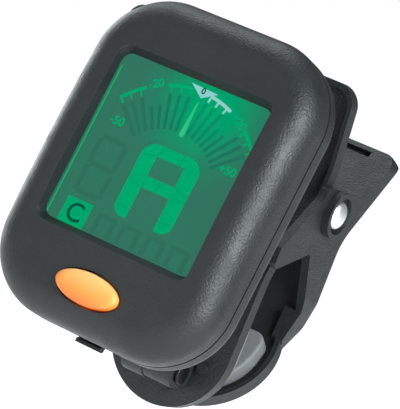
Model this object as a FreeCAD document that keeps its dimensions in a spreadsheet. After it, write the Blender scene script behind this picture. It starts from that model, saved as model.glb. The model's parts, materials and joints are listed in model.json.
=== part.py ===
import FreeCAD, Part
import math
import os
import re
import Sketcher
from FreeCAD import Placement, Rotation, Vector

# Clip-on instrument tuner: a small display head on a tilting, swivelling bracket, carried by the front
# jaw of a two-jaw spring clip.  Millimetres.  +Z runs up along the front jaw, +X to the right, +Y from the
# front jaw towards the rear jaw.  The origin is the centre of the front jaw's rubber pad face.
# The head leans back from +Z by head_lean.  Its pieces are drawn in the head's own frame, where y=0 is the
# seam between the two shells, -y is the display side and the outline is centred on the origin.

doc = FreeCAD.newDocument("clip_on_tuner")
sheet = doc.addObject("Spreadsheet::Sheet", "dims")

DIMENSIONS = {
    # head
    "head_width": 38.0, "head_height": 50.0, "head_corner": 11.0, "head_lean": 10.5,
    "head_place_y": -23.4, "head_place_z": 23.44,
    "front_depth": 7.0, "rear_depth": 5.0, "front_round": 4.6, "rear_round": 3.2,
    "crown_radius": 220.0, "shell_wall": 1.8, "front_cavity": 3.4, "rear_cavity": 3.4,
    "seam_width": 0.4, "seam_inset": 0.3, "skin_gap": 0.05, "contact_gap": 0.02, "small_corner": 0.3,
    # display window and the layers behind it
    "window_width": 26.6, "window_height": 28.7, "window_z": 1.5, "window_corner": 1.6,
    "side_slope": 0.3, "end_slope": 1.2, "window_depth": 2.0,
    "lens_width": 27.4, "lens_height": 27.7, "lens_thick": 0.8, "layer_gap": 0.2,
    "lcd_thick": 1.1, "light_thick": 1.4, "light_height": 25.4, "board_thick": 0.8,
    "zebra_height": 2.0, "zebra_width": 22.0, "light_corner": 0.6, "board_room": 0.3,
    # power button and its switch
    "button_width": 10.6, "button_height": 4.7, "button_z": -19.0, "button_gap": 0.32,
    "button_proud": 7.3, "button_flange": 1.0, "button_travel": 0.4, "button_round": 0.9,
    "flange_thick": 0.6, "flange_front": 1.1, "flange_room": 0.4,
    "switch_side": 4.6, "switch_thick": 1.5, "dome_depth": 0.4, "stem_radius": 1.1, "stem_gap": 0.08,
    "stem_dip": 0.15, "dimple_radius": 0.66, "dimple_set": 0.38,
    # shell screws
    "screw_x": 14.2, "screw_top": 20.0, "screw_bottom": -18.5, "boss_radius": 2.2,
    "boss_length": 1.7, "boss_root": 0.3, "pilot_depth": 1.3, "base_pilot_depth": 1.5,
    "pilot_radius": 0.66, "shank_radius": 0.62, "clear_radius": 0.9, "case_reach": 3.6, "base_reach": 1.4,
    "drive_long": 1.5, "drive_wide": 0.34, "drive_depth": 0.45, "head_round": 0.35, "hole_room": 0.15,
    "head_radius": 1.4, "head_thick": 1.0, "counterbore_radius": 1.6, "counterbore_depth": 1.4,
    # battery, its contacts and its sliding cover
    "cell_radius": 10.0, "cell_thick": 3.2, "cell_z": -12.0, "cell_front": 0.3, "cell_step": 0.5,
    "cell_rim": 1.4, "cell_round": 0.3, "cell_room": 0.4, "contact_thick": 0.25,
    "minus_width": 4.0, "minus_foot": 6.0, "minus_bend": 2.0, "minus_tip": 3.4,
    "plus_width": 5.0, "plus_foot": 2.2, "plus_bend": 0.3, "plus_end": 3.1,
    "cover_width": 22.0, "cover_top": -1.0, "cover_thick": 1.3, "cover_gap": 0.15,
    "rail_width": 23.2, "rail_thick": 0.5, "rail_setback": 1.0, "rail_start": 4.0,
    "tab_x": -1.0, "tab_width": 4.3, "tab_thick": 1.3, "tab_out": 0.75, "tab_step": 0.8, "tab_root": 1.6,
    "tab_notch": 0.2, "tab_round": 0.5,
    # vibration sensor and electronics
    "piezo_radius": 6.0, "ceramic_radius": 4.2, "piezo_thick": 0.2, "piezo_x": 5.5, "piezo_z": 14.0,
    "chip_side": 7.0, "chip_thick": 1.2, "chip_x": -6.5, "chip_z": 15.0,
    "lamp_x": 6.5, "lamp_width": 2.8, "lamp_side": 1.0, "lamp_corner": 0.15,
    # bracket, tilt pin and turntable
    "tilt_y": -7.6, "tilt_z": -2.4, "knuckle_radius": 2.8, "knuckle_width": 3.8, "knuckle_split": 0.5,
    "joint_gap": 0.1,
    "base_width": 16.0, "base_bottom": 1.0, "base_top": 13.0, "base_thick": 1.6, "base_corner": 2.4,
    "strut_root": 0.4, "strut_low": 1.6, "strut_high": 10.0, "base_screw_x": 6.2, "base_screw_z": 7.0,
    "lug_width": 4.9, "lug_front": 2.6, "lug_bottom": 2.5, "lug_top": 2.6, "lug_round": 2.2,
    "lug_foot_round": 1.0,
    "pin_radius": 1.0, "pin_fit": 0.05, "pin_head_radius": 1.6, "pin_head_thick": 0.6,
    "table_radius": 4.8, "table_z": -1.8, "table_thick": 0.9, "table_gap": 0.05,
    "spigot_radius": 2.2, "spigot_fit": 0.05, "spigot_root": 0.2, "spigot_short": 0.9,
    "washer_radius": 3.5, "washer_thick": 0.3, "washer_room": 0.3, "screw_grip": 2.0, "screw_end": 0.7,
    "swivel_head_radius": 3.0, "swivel_head_thick": 0.6, "swivel_screw_radius": 0.9,
    "nub_x": 6.8, "nub_z": -0.9, "nub_radius": 0.8, "nub_thick": 0.7, "nub_root": 0.3,
    # front jaw
    "jaw_half": 10.35, "jaw_thick": 2.2, "jaw_bottom": -9.0, "jaw_top": 46.3, "jaw_corner": 3.2,
    "pad_thick": 1.3, "bend_low_z": 17.5, "bend_y": 8.4, "bend_z": 31.3, "bend_top_y": 4.8,
    "bend_low_round": 15.0, "bend_round": 9.0, "rim_width": 0.7, "tray_depth": 1.2, "tray_bottom": 18.2,
    "tray_open": 6.0, "tray_corner": 1.2, "spring_window": 5.9, "window_low": 23.4, "window_high": 32.4,
    # pivot and spring
    "pivot_y": 6.6, "pivot_z": 27.6, "rivet_radius": 1.5, "rivet_fit": 0.06, "rivet_head_radius": 2.2,
    "rivet_dome": 1.1, "ear_radius": 3.3, "ear_inner": 7.6, "ear_outer": 9.9, "ear_lap": 0.6, "ear_foot": 2.5,
    "wire_radius": 0.5, "coil_radius": 2.35, "coil_turns": 6.0, "coil_pitch": 1.12,
    "start_angle": 135.0, "end_angle": -38.0, "leg_out_y": 2.5, "leg_out_z": 2.9,
    "front_leg": 8.0, "front_leg_lean": 13.5, "rear_leg": 12.5, "rear_leg_lean": 43.0,
    # rear jaw
    "rear_half": 12.2, "cheek_thick": 1.4, "lever_top_y": 22.8, "lever_top_z": 37.5,
    "waist_y": 13.0, "waist_z": 23.8, "knee_y": 13.6, "knee_z": 9.2,
    "lever_in_y": 20.9, "lever_in_z": 38.9, "waist_in_y": 10.0, "waist_in_z": 25.0,
    "knee_in_y": 11.4, "knee_in_z": 10.4, "lever_corner": 2.6,
    "waist_round": 7.0, "knee_round": 2.5, "waist_in_round": 5.0, "knee_in_round": 2.0,
    "cheek_top": 31.2, "cheek_front": 2.1, "cheek_back": 15.6, "cheek_waist_y": 12.2, "cheek_waist_z": 25.6,
    "cheek_foot_y": 12.6, "cheek_foot_z": 9.8, "cheek_corner": 1.0, "arch_y": 4.3, "arch_z": 20.8,
    "arch_round": 0.6, "inner_y": 10.0, "inner_z": 11.7, "inner_round": 1.5,
    "wing_y": -5.6, "wing_low": 16.8, "wing_high": 20.4, "brow_y": 1.8, "brow_z": 29.3, "brow_round": 4.0,
    "heel_thick": 1.9, "heel_front_y": 9.5, "heel_front_z": 6.6, "heel_back_y": 11.3, "heel_back_z": 5.3,
    "face_half": 10.6, "face_low": 2.0, "face_step": 5.0, "shoulder_z": 13.5, "shoulder_round": 6.0,
    "cup_y": 8.9, "cup_z": 1.6, "cup_lean": 32.2, "cup_radius": 11.5, "cup_floor": 1.2, "cup_depth": 2.3,
    "cup_wall": 0.8, "ring_radius": 3.65, "ring_height": 1.3, "ring_inner": 2.9, "ring_recess": 0.8,
    "slot_half": 7.8, "slot_width": 1.1, "slot_depth": 1.0, "slot_drop": 2.0,
    # rubber pads
    "pad_half": 9.95, "pad_low": -8.6, "pad_high": 8.0, "pad_low_round": 9.9, "pad_corner": 1.6,
    "rear_pad_half": 9.3, "rear_pad_top": 3.6, "rear_pad_height": 3.8, "rear_pad_corner": 2.0,
    "rear_pad_round": 0.5, "pad_room": 0.3,
    "grip_groove": 0.7, "grip_depth": 0.35, "front_groove_z": -2.2, "rear_groove_place": -6.4,
}

for row, (alias, number) in enumerate(DIMENSIONS.items(), start=1):
    sheet.set("A" + str(row), alias)
    sheet.set("B" + str(row), str(number))
    sheet.setAlias("B" + str(row), alias)
doc.recompute()


# ---------------------------------------------------------------- helpers

def value(expression):
    """Number that an expression of spreadsheet aliases gives now."""
    return float(sheet.evalExpression(str(expression)))


def linked(expression):
    """The same expression with each alias written as a link to the spreadsheet."""
    def link(match):
        return "dims." + match.group(0) if match.group(0) in DIMENSIONS else match.group(0)
    return re.sub(r"[a-z]+(?:_[a-z]+)*", link, str(expression))


def bind(item, name, expression):
    item.setExpression(name, linked(expression))


def new_body(name):
    body = doc.addObject("PartDesign::Body", name)
    body.Label = name
    return body


def new_sketch(body, plane, offset="0"):
    """Sketch on one of the body's origin planes, moved along the plane's normal by offset."""
    sketch = body.newObject("Sketcher::SketchObject", body.Name + "_sketch")
    support = [item for item in body.Origin.OriginFeatures if item.Role == plane][0]
    sketch.AttachmentSupport = [(support, "")]
    sketch.MapMode = "FlatFace"
    bind(sketch, "AttachmentOffset.Base.z", offset)
    return sketch


def hold(sketch, constraints, bound):
    """Adds constraints in one go and binds those listed in bound, index to expression."""
    first = sketch.ConstraintCount
    sketch.addConstraint(constraints)
    for index, expression in bound.items():
        bind(sketch, "Constraints[" + str(first + index) + "]", expression)


def add_outline(sketch, corners):
    """Closed outline through corners, each (x, y) or (x, y, rounding radius), as expressions."""
    points = [Vector(value(corner[0]), value(corner[1]), 0) for corner in corners]
    radii = [value(corner[2]) if len(corner) > 2 else 0.0 for corner in corners]
    count = len(corners)
    arrive, leave, middle = [], [], []
    for index, here in enumerate(points):
        back = (points[index - 1] - here).normalize()
        ahead = (points[(index + 1) % count] - here).normalize()
        half = back.getAngle(ahead) / 2
        reach = radii[index] / math.tan(half)
        arrive.append(here + back * reach)
        leave.append(here + ahead * reach)
        inward = (back + ahead).normalize() if radii[index] else Vector(1, 0, 0)
        middle.append(here + inward * radii[index] * (1 / math.sin(half) - 1))
    lines = []
    for index in range(count):
        line = Part.LineSegment(leave[index], arrive[(index + 1) % count])
        lines.append(sketch.addGeometry(line, False))
    constraints, bound = [], {}

    def add(constraint, expression=None):
        if expression is not None:
            bound[len(constraints)] = expression
        constraints.append(constraint)

    for index, corner in enumerate(corners):
        into, out = lines[index - 1], lines[index]
        if radii[index]:
            arc = sketch.addGeometry(Part.Arc(arrive[index], middle[index], leave[index]), False)
            near = sketch.getPoint(arc, 1).distanceToPoint(arrive[index]) < 1e-6
            mark = sketch.addGeometry(Part.Point(points[index]), True)
            add(Sketcher.Constraint("Tangent", into, 2, arc, 1 if near else 2))
            add(Sketcher.Constraint("Tangent", arc, 2 if near else 1, out, 1))
            add(Sketcher.Constraint("PointOnObject", mark, 1, into))
            add(Sketcher.Constraint("PointOnObject", mark, 1, out))
            add(Sketcher.Constraint("Radius", arc, radii[index]), corner[2])
            anchor = (mark, 1)
        else:
            add(Sketcher.Constraint("Coincident", into, 2, out, 1))
            anchor = (out, 1)
        add(Sketcher.Constraint("DistanceX", -1, 1, anchor[0], anchor[1], points[index].x), corner[0])
        add(Sketcher.Constraint("DistanceY", -1, 1, anchor[0], anchor[1], points[index].y), corner[1])
    hold(sketch, constraints, bound)


def add_rectangle(sketch, width, height, centre=("0", "0"), corner=None):
    """Rectangle with rounded corners, given by its width, height and centre."""
    left = "(" + centre[0] + ") - (" + width + ") / 2"
    right = "(" + centre[0] + ") + (" + width + ") / 2"
    low = "(" + centre[1] + ") - (" + height + ") / 2"
    high = "(" + centre[1] + ") + (" + height + ") / 2"
    places = [(left, low), (right, low), (right, high), (left, high)]
    add_outline(sketch, [place + ((corner,) if corner else ()) for place in places])


def add_circle(sketch, radius, centre=("0", "0")):
    middle = Vector(value(centre[0]), value(centre[1]), 0)
    circle = sketch.addGeometry(Part.Circle(middle, Vector(0, 0, 1), value(radius)), False)
    constraints = [
        Sketcher.Constraint("Radius", circle, value(radius)),
        Sketcher.Constraint("DistanceX", -1, 1, circle, 3, middle.x),
        Sketcher.Constraint("DistanceY", -1, 1, circle, 3, middle.y),
    ]
    hold(sketch, constraints, {0: radius, 1: centre[0], 2: centre[1]})


def pad(body, sketch, length, reverse=False, symmetric=False):
    feature = body.newObject("PartDesign::Pad", body.Name + "_pad")
    feature.Profile = sketch
    feature.Reversed = reverse
    feature.SideType = "Symmetric" if symmetric else "One side"
    bind(feature, "Length", length)
    sketch.Visibility = False
    return feature


def pocket(body, sketch, length, reverse=False, symmetric=False):
    """Cut by a sketch; the volume has to drop, which shows that it points into the solid."""
    doc.recompute()
    before = body.Tip.Shape.Volume
    feature = body.newObject("PartDesign::Pocket", body.Name + "_pocket")
    feature.Profile = sketch
    feature.Reversed = reverse
    feature.SideType = "Symmetric" if symmetric else "One side"
    bind(feature, "Length", length)
    doc.recompute()
    if not feature.Shape.Volume < before - 0.01:
        raise RuntimeError("the pocket in " + body.Label + " cuts nothing")
    return feature


def edges_where(shape, test):
    """Names of the edges whose centre of mass and curve pass the test."""
    return ["Edge" + str(number) for number, edge in enumerate(shape.Edges, start=1) if test(edge)]


def fillet(body, radius, test):
    doc.recompute()
    base = body.Tip
    feature = body.newObject("PartDesign::Fillet", body.Name + "_fillet")
    feature.Base = (base, edges_where(base.Shape, test))
    bind(feature, "Radius", radius)
    return feature


def plate(name, plane, start, length, draw, reverse=False, symmetric=False):
    """Body made by one pad of the outline that draw(sketch) adds, from start along the plane's normal."""
    body = new_body(name)
    sketch = new_sketch(body, plane, start)
    draw(sketch)
    pad(body, sketch, length, reverse, symmetric)
    return body


def cylinder(name, radius, length, base, direction):
    """Part::Cylinder along direction from base, its size bound to the sheet."""
    item = doc.addObject("Part::Cylinder", name)
    item.Label = name
    bind(item, "Radius", radius)
    bind(item, "Height", length)
    turn = Rotation(Vector(0, 0, 1), direction)
    item.Placement = Placement(Vector(*[value(part) for part in base]), turn)
    for axis, part in zip("xyz", base):
        bind(item, "Placement.Base." + axis, part)
    return item


def box(name, low, high):
    """Part::Box between two corners, bound to the sheet."""
    item = doc.addObject("Part::Box", name)
    item.Label = name
    for side, axis, start, end in zip(("Length", "Width", "Height"), "xyz", low, high):
        bind(item, side, "(" + end + ") - (" + start + ")")
        bind(item, "Placement.Base." + axis, start)
    return item


def fuse(name, *items):
    union = doc.addObject("Part::MultiFuse", name)
    union.Label = name
    union.Shapes = list(items)
    union.Refine = True
    return union


def common(name, *items):
    overlap = doc.addObject("Part::MultiCommon", name)
    overlap.Label = name
    overlap.Shapes = list(items)
    return overlap


def cut(name, base, *tools):
    """Base with the tools removed; the volume has to drop."""
    tool = tools[0] if len(tools) == 1 else fuse(name + "_tools", *tools)
    difference = doc.addObject("Part::Cut", name)
    difference.Label = name
    difference.Base = base
    difference.Tool = tool
    doc.recompute()
    if not difference.Shape.Volume < base.Shape.Volume - 0.005:
        raise RuntimeError("nothing is cut from " + name)
    return difference


NODES = []
SIDES = ("", "-")
ALONG_X = Vector(1, 0, 0)
ALONG_Y = Vector(0, 1, 0)
THROUGH = "80"  # longer than any piece that a hole runs through


def keep(item, name, in_head=False):
    """Registers a finished sub-part; head pieces are placed by the head's lean and position."""
    item.Label = name
    if in_head:
        turn = Rotation(ALONG_X, -value("head_lean"))
        item.Placement = Placement(Vector(0, value("head_place_y"), value("head_place_z")), turn)
        bind(item, "Placement.Base.y", "head_place_y")
        bind(item, "Placement.Base.z", "head_place_z")
    NODES.append((name, item))


# ---------------------------------------------------------------- head shells

LENS_FRONT = "front_depth - window_depth"
LCD_FRONT = LENS_FRONT + " - lens_thick"
LIGHT_FRONT = LCD_FRONT + " - lcd_thick"
BOARD_FRONT = LIGHT_FRONT + " - light_thick"
FLANGE_FRONT = "front_cavity + flange_front"
FLANGE_BACK = FLANGE_FRONT + " - flange_thick"


def shell_form(inset="0"):
    """Drawing of the head's outline, moved in by inset."""
    return lambda sketch: add_rectangle(
        sketch, "head_width - 2 * (" + inset + ")", "head_height - 2 * (" + inset + ")",
        corner="head_corner - (" + inset + ")")


def screw_places():
    """The four shell screws as (x, z) expressions."""
    return [(side + "screw_x", height) for side in SIDES for height in ("screw_top", "screw_bottom")]


def crowned_face(body):
    """Trims the display side to a large radius about a horizontal axis, flattest at mid height."""
    sketch = new_sketch(body, "YZ_Plane")
    centre = "crown_radius - front_depth"
    add_rectangle(sketch, "2.2 * crown_radius", "2.2 * crown_radius", (centre, "0"))
    add_circle(sketch, "crown_radius", (centre, "0"))
    pocket(body, sketch, "3 * head_width", symmetric=True)


def make_front_shell():
    body = new_body("front_form")
    sketch = new_sketch(body, "XZ_Plane")
    shell_form()(sketch)
    pad(body, sketch, "front_depth")
    crowned_face(body)
    fillet(body, "front_round", lambda edge: edge.BoundBox.YMax < -4)
    slope = body.newObject("PartDesign::SubtractiveLoft", "window_slope_cut")
    sections = []
    inner = ("window_width - 2 * side_slope", "window_height - 2 * end_slope")
    for start, size in (("front_depth", ("window_width", "window_height")), (LENS_FRONT, inner)):
        section = new_sketch(body, "XZ_Plane", start)
        add_rectangle(section, size[0], size[1], ("0", "window_z"), "window_corner")
        sections.append(section)
    slope.Profile = sections[0]
    slope.Sections = [sections[1]]
    slope.Ruled = True
    doc.recompute()
    sketch = new_sketch(body, "XZ_Plane")
    shell_form("shell_wall")(sketch)
    pocket(body, sketch, "front_cavity", reverse=True)
    sketch = new_sketch(body, "XZ_Plane")
    add_rectangle(sketch, "lens_width + 2 * layer_gap", "lens_height + 2 * layer_gap", ("0", "window_z"),
                  "window_corner")
    pocket(body, sketch, LENS_FRONT, reverse=True)
    for x, z in screw_places():
        sketch = new_sketch(body, "XZ_Plane", "front_cavity - boss_length")
        add_circle(sketch, "boss_radius", (x, z))
        pad(body, sketch, "boss_length + boss_root")
        sketch = new_sketch(body, "XZ_Plane")
        add_circle(sketch, "pilot_radius", (x, z))
        pocket(body, sketch, "front_cavity + pilot_depth", reverse=True)
    hole = oval("button_hole", "2 * button_gap", "0", "2 * front_depth")
    recess = oval("button_recess", "2 * (button_flange + flange_room)", "0", FLANGE_FRONT + " + joint_gap")
    keep(cut("front_shell", body, hole, recess), "front_shell", True)


def rear_form(name):
    """Outside of the rear shell: a narrow inset lip that shows as the seam, then the rounded back."""
    body = new_body(name)
    sketch = new_sketch(body, "XZ_Plane", "-seam_width")
    shell_form()(sketch)
    pad(body, sketch, "rear_depth - seam_width", reverse=True)
    fillet(body, "rear_round", lambda edge: edge.BoundBox.YMin > 4)
    sketch = new_sketch(body, "XZ_Plane")
    shell_form("seam_inset")(sketch)
    pad(body, sketch, "seam_width", reverse=True)
    return body


def make_rear_shell():
    body = rear_form("rear_form")
    sketch = new_sketch(body, "XZ_Plane")
    shell_form("shell_wall")(sketch)
    pocket(body, sketch, "rear_cavity")
    for x, z in screw_places():
        sketch = new_sketch(body, "XZ_Plane", "-rear_cavity")
        add_circle(sketch, "boss_radius", (x, z))
        pad(body, sketch, "rear_cavity - joint_gap")
        sketch = new_sketch(body, "XZ_Plane")
        add_circle(sketch, "clear_radius", (x, z))
        pocket(body, sketch, "4 * rear_depth", symmetric=True)
        sketch = new_sketch(body, "XZ_Plane", "-rear_depth")
        add_circle(sketch, "counterbore_radius", (x, z))
        pocket(body, sketch, "counterbore_depth", reverse=True)
    for side in SIDES:
        sketch = new_sketch(body, "XZ_Plane", "-rear_depth")
        add_circle(sketch, "pilot_radius", (side + "base_screw_x", "base_screw_z"))
        pocket(body, sketch, "base_pilot_depth", reverse=True)
    opening = box("cover_opening",
                  ("-cover_width / 2 - cover_gap", "rear_depth - cover_thick - cover_gap", "-head_height"),
                  ("cover_width / 2 + cover_gap", "2 * rear_depth", "cover_top + cover_gap"))
    rails = box("cover_rails",
                ("-rail_width / 2 - cover_gap", "rear_depth - cover_thick - cover_gap", "-head_height"),
                ("rail_width / 2 + cover_gap", "rear_depth - cover_thick + rail_thick + cover_gap",
                 "cover_top - rail_setback + cover_gap"))
    bay = cylinder("cell_bay", "cell_radius + cell_room", "rear_depth", ("0", "0", "cell_z"), ALONG_Y)
    keep(cut("rear_shell", body, opening, rails, bay), "rear_shell", True)


def make_battery_cover():
    body = rear_form("cover_form")
    panel = box("cover_panel",
                ("-cover_width / 2", "rear_depth - cover_thick", "-head_height"),
                ("cover_width / 2", "2 * rear_depth", "cover_top"))
    tongue = box("cover_tongue",
                 ("-rail_width / 2", "rear_depth - cover_thick", "-head_height / 2 + rail_start"),
                 ("rail_width / 2", "rear_depth - cover_thick + rail_thick", "cover_top - rail_setback"))
    trimmed = common("cover_trimmed", body, fuse("cover_blank", panel, tongue))
    tab = new_body("cover_tab")
    sketch = new_sketch(tab, "YZ_Plane", "tab_x")
    face = "rear_depth - cover_thick"
    end = "-head_height / 2"
    add_outline(sketch, [
        (face, end + " + tab_root"),
        (face, end + " + tab_notch"),
        (face + " - tab_step", end + " - tab_notch"),
        (face + " - tab_step", end + " - tab_out"),
        (face + " - tab_step + tab_thick", end + " - tab_out", "tab_round"),
        (face + " + cover_thick - small_corner", end + " + 2 * tab_root"),
    ])
    pad(tab, sketch, "tab_width", symmetric=True)
    keep(fuse("battery_cover", trimmed, tab), "battery_cover", True)


# ---------------------------------------------------------------- inside the head

def flat_piece(name, front, thick, draw):
    """Plate of the head lying at y from -front to -front + thick."""
    return plate(name + "_body", "XZ_Plane", front, thick, draw, reverse=True)


def make_display_stack():
    lens = flat_piece("display_window", LENS_FRONT, "lens_thick", lambda sketch: add_rectangle(
        sketch, "lens_width", "lens_height", ("0", "window_z"), "window_corner"))
    keep(lens, "display_window", True)
    glass = new_body("lcd_form")
    sketch = new_sketch(glass, "XZ_Plane", LCD_FRONT)
    add_rectangle(sketch, "lens_width - layer_gap", "lens_height - layer_gap", ("0", "window_z"),
                  "window_corner")
    pad(glass, sketch, "lcd_thick / 2", reverse=True)
    sketch = new_sketch(glass, "XZ_Plane", LCD_FRONT + " - lcd_thick / 2")
    add_rectangle(sketch, "lens_width - layer_gap", "lens_height - layer_gap - zebra_height",
                  ("0", "window_z + zebra_height / 2"), "window_corner")
    pad(glass, sketch, "lcd_thick / 2", reverse=True)
    keep(glass, "lcd_panel", True)
    light = flat_piece("backlight", LIGHT_FRONT, "light_thick - skin_gap", lambda sketch: add_rectangle(
        sketch, "lens_width - 2 * layer_gap", "light_height",
        ("0", "window_z + (lens_height - light_height - layer_gap) / 2"), "light_corner"))
    keep(light, "backlight_diffuser", True)
    zebra = flat_piece("zebra", LCD_FRONT + " - lcd_thick / 2", "light_thick + lcd_thick / 2",
                       lambda sketch: add_rectangle(
                           sketch, "zebra_width", "zebra_height - 2 * layer_gap",
                           ("0", "window_z - (lens_height - zebra_height - layer_gap) / 2"), "small_corner"))
    keep(zebra, "zebra_connector", True)


def make_circuit_board():
    board = new_body("circuit_board_form")
    sketch = new_sketch(board, "XZ_Plane", BOARD_FRONT)
    shell_form("shell_wall + board_room")(sketch)
    pad(board, sketch, "board_thick", reverse=True)
    for x, z in screw_places():
        sketch = new_sketch(board, "XZ_Plane", BOARD_FRONT)
        add_circle(sketch, "clear_radius", (x, z))
        pocket(board, sketch, "2 * board_thick")
    keep(board, "circuit_board", True)
    back = BOARD_FRONT + " - board_thick"
    chip = flat_piece("chip", back, "chip_thick", lambda sketch: add_rectangle(
        sketch, "chip_side", "chip_side", ("chip_x", "chip_z"), "small_corner"))
    keep(chip, "control_chip", True)
    lamps = []
    for side in SIDES:
        place = (side + "lamp_x", "window_z + lens_height / 2 + lamp_side")
        lamps.append(flat_piece("lamp", BOARD_FRONT + " + lamp_side", "lamp_side",
                                lambda sketch: add_rectangle(sketch, "lamp_width", "lamp_side", place,
                                                             "lamp_corner")))
    keep(fuse("backlight_leds", *lamps), "backlight_leds", True)


def make_switch():
    housing = new_body("switch_housing")
    sketch = new_sketch(housing, "XZ_Plane", BOARD_FRONT + " + switch_thick")
    add_rectangle(sketch, "switch_side", "switch_side", ("0", "button_z"), "small_corner")
    pad(housing, sketch, "switch_thick", reverse=True)
    sketch = new_sketch(housing, "XZ_Plane", BOARD_FRONT + " + switch_thick")
    add_circle(sketch, "stem_radius + stem_gap", ("0", "button_z"))
    pocket(housing, sketch, "button_travel + dome_depth")
    keep(housing, "tact_switch", True)
    stem = cylinder("switch_stem", "stem_radius",
                    "(" + FLANGE_BACK + ") - (" + BOARD_FRONT + " + switch_thick) + stem_dip",
                    ("0", "-(" + FLANGE_BACK + ")", "button_z"), ALONG_Y)
    keep(dimpled(stem), "switch_stem", True)


def dimpled(stem):
    """Cuts a shallow dimple in the stem's free end, where it presses the contact dome."""
    tip = doc.addObject("Part::Sphere", "stem_dimple")
    bind(tip, "Radius", "dimple_radius")
    bind(tip, "Placement.Base.z", "button_z")
    bind(tip, "Placement.Base.y", "-(" + BOARD_FRONT + " + switch_thick) + stem_dip + dimple_set")
    return cut("stem_dimpled", stem, tip)


def oval(name, growth, back, front):
    """Elliptical block of the button's outline, grown by growth, from y = -back to y = -front."""
    outline = doc.addObject("Part::Ellipse", name + "_outline")
    bind(outline, "MajorRadius", "(button_width + " + growth + ") / 2")
    bind(outline, "MinorRadius", "(button_height + " + growth + ") / 2")
    outline.Placement = Placement(Vector(0, -value(back), value("button_z")), Rotation(ALONG_X, 90))
    bind(outline, "Placement.Base.y", "-(" + back + ")")
    bind(outline, "Placement.Base.z", "button_z")
    block = doc.addObject("Part::Extrusion", name)
    block.Label = name
    block.Base = outline
    block.DirMode = "Custom"
    block.Dir = Vector(0, -1, 0)
    block.Solid = True
    bind(block, "LengthFwd", "(" + front + ") - (" + back + ")")
    return block


def make_power_button():
    """Oval cap with a rounded rim, and a flange behind the shell that keeps it in."""
    cap = oval("button_cap", "0", FLANGE_BACK, "button_proud")
    doc.recompute()
    face_y = -value("button_proud")
    rim = [number for number, edge in enumerate(cap.Shape.Edges, start=1)
           if abs(edge.BoundBox.YMax - face_y) < 1e-3][0]
    rounded = doc.addObject("Part::Fillet", "button_rounded")
    rounded.Base = cap
    rounded.Edges = [(rim, value("button_round"), value("button_round"))]
    flange = oval("button_flange_plate", "2 * button_flange", FLANGE_BACK, FLANGE_FRONT)
    keep(fuse("power_button", rounded, flange), "power_button", True)


def make_battery():
    can = new_body("cell_can")
    sketch = new_sketch(can, "XZ_Plane", "-cell_front - cell_step")
    add_circle(sketch, "cell_radius", ("0", "cell_z"))
    pad(can, sketch, "cell_thick - cell_step", reverse=True)
    fillet(can, "cell_round", lambda edge: edge.BoundBox.YMin > value("cell_front + cell_step") + 0.1)
    sketch = new_sketch(can, "XZ_Plane", "-cell_front")
    add_circle(sketch, "cell_radius - cell_rim", ("0", "cell_z"))
    pad(can, sketch, "cell_step", reverse=True)
    keep(can, "coin_cell", True)
    board_back = "-(" + BOARD_FRONT + ") + board_thick"
    bent = board_back + " + contact_thick"
    touch = "cell_front - contact_gap"
    minus = new_body("minus_contact_form")
    sketch = new_sketch(minus, "YZ_Plane")
    add_outline(sketch, [
        (board_back, "cell_z - minus_foot"), (bent, "cell_z - minus_foot"), (bent, "cell_z - minus_bend"),
        (touch, "cell_z + minus_tip"), (touch + " - contact_thick", "cell_z + minus_tip"),
        (board_back, "cell_z - 0.8 * minus_bend"),
    ])
    pad(minus, sketch, "minus_width", symmetric=True)
    keep(minus, "battery_contact_minus", True)
    plus = new_body("plus_contact_form")
    sketch = new_sketch(plus, "YZ_Plane")
    rim = "cell_z + cell_radius"
    add_outline(sketch, [
        (board_back, rim + " + plus_foot"), (bent, rim + " + plus_foot"),
        (bent, rim + " + plus_bend + contact_thick"), ("plus_end", rim + " + contact_gap + contact_thick"),
        ("plus_end", rim + " + contact_gap"), (board_back, rim + " + plus_bend"),
    ])
    pad(plus, sketch, "plus_width", symmetric=True)
    keep(plus, "battery_contact_plus", True)


def make_sensor():
    start = "-rear_cavity + piezo_thick + contact_gap"
    disc = flat_piece("piezo", start, "piezo_thick", lambda sketch: add_circle(
        sketch, "piezo_radius", ("piezo_x", "piezo_z")))
    keep(disc, "piezo_disc", True)
    ceramic = flat_piece("ceramic", start + " + piezo_thick", "piezo_thick",
                         lambda sketch: add_circle(sketch, "ceramic_radius", ("piezo_x", "piezo_z")))
    keep(ceramic, "piezo_ceramic", True)


def screw(name, x, z, head_y, length):
    """Pan-head screw along y: its head ends at head_y and its shank runs towards the display."""
    body = new_body(name)
    sketch = new_sketch(body, "XZ_Plane", "-(" + head_y + ")")
    add_circle(sketch, "head_radius", (x, z))
    pad(body, sketch, "head_thick")
    fillet(body, "head_round", lambda edge: abs(edge.BoundBox.YMin - value(head_y)) < 1e-3)
    sketch = new_sketch(body, "XZ_Plane", "-(" + head_y + ")")
    add_circle(sketch, "shank_radius", (x, z))
    pad(body, sketch, length)
    slots = []
    for wide, tall in (("drive_long / 2", "drive_wide / 2"), ("drive_wide / 2", "drive_long / 2")):
        low = (x + " - " + wide, "(" + head_y + ") - drive_depth", z + " - " + tall)
        high = (x + " + " + wide, "(" + head_y + ") + head_thick", z + " + " + tall)
        slots.append(box(name + "_slot", low, high))
    return cut(name + "_slotted", body, *slots)


def make_screws():
    head_y = "rear_depth - counterbore_depth + head_thick"
    shell_screws = [screw("shell_screw", x, z, head_y, "head_thick + rear_cavity + case_reach")
                    for x, z in screw_places()]
    keep(fuse("case_screws", *shell_screws), "case_screws", True)
    base_screws = [screw("bracket_screw", side + "base_screw_x", "base_screw_z",
                         "rear_depth + base_thick + skin_gap + head_thick",
                         "head_thick + base_thick + base_reach")
                   for side in SIDES]
    keep(fuse("bracket_screws", *base_screws), "bracket_screws", True)


# ---------------------------------------------------------------- bracket and turntable

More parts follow.
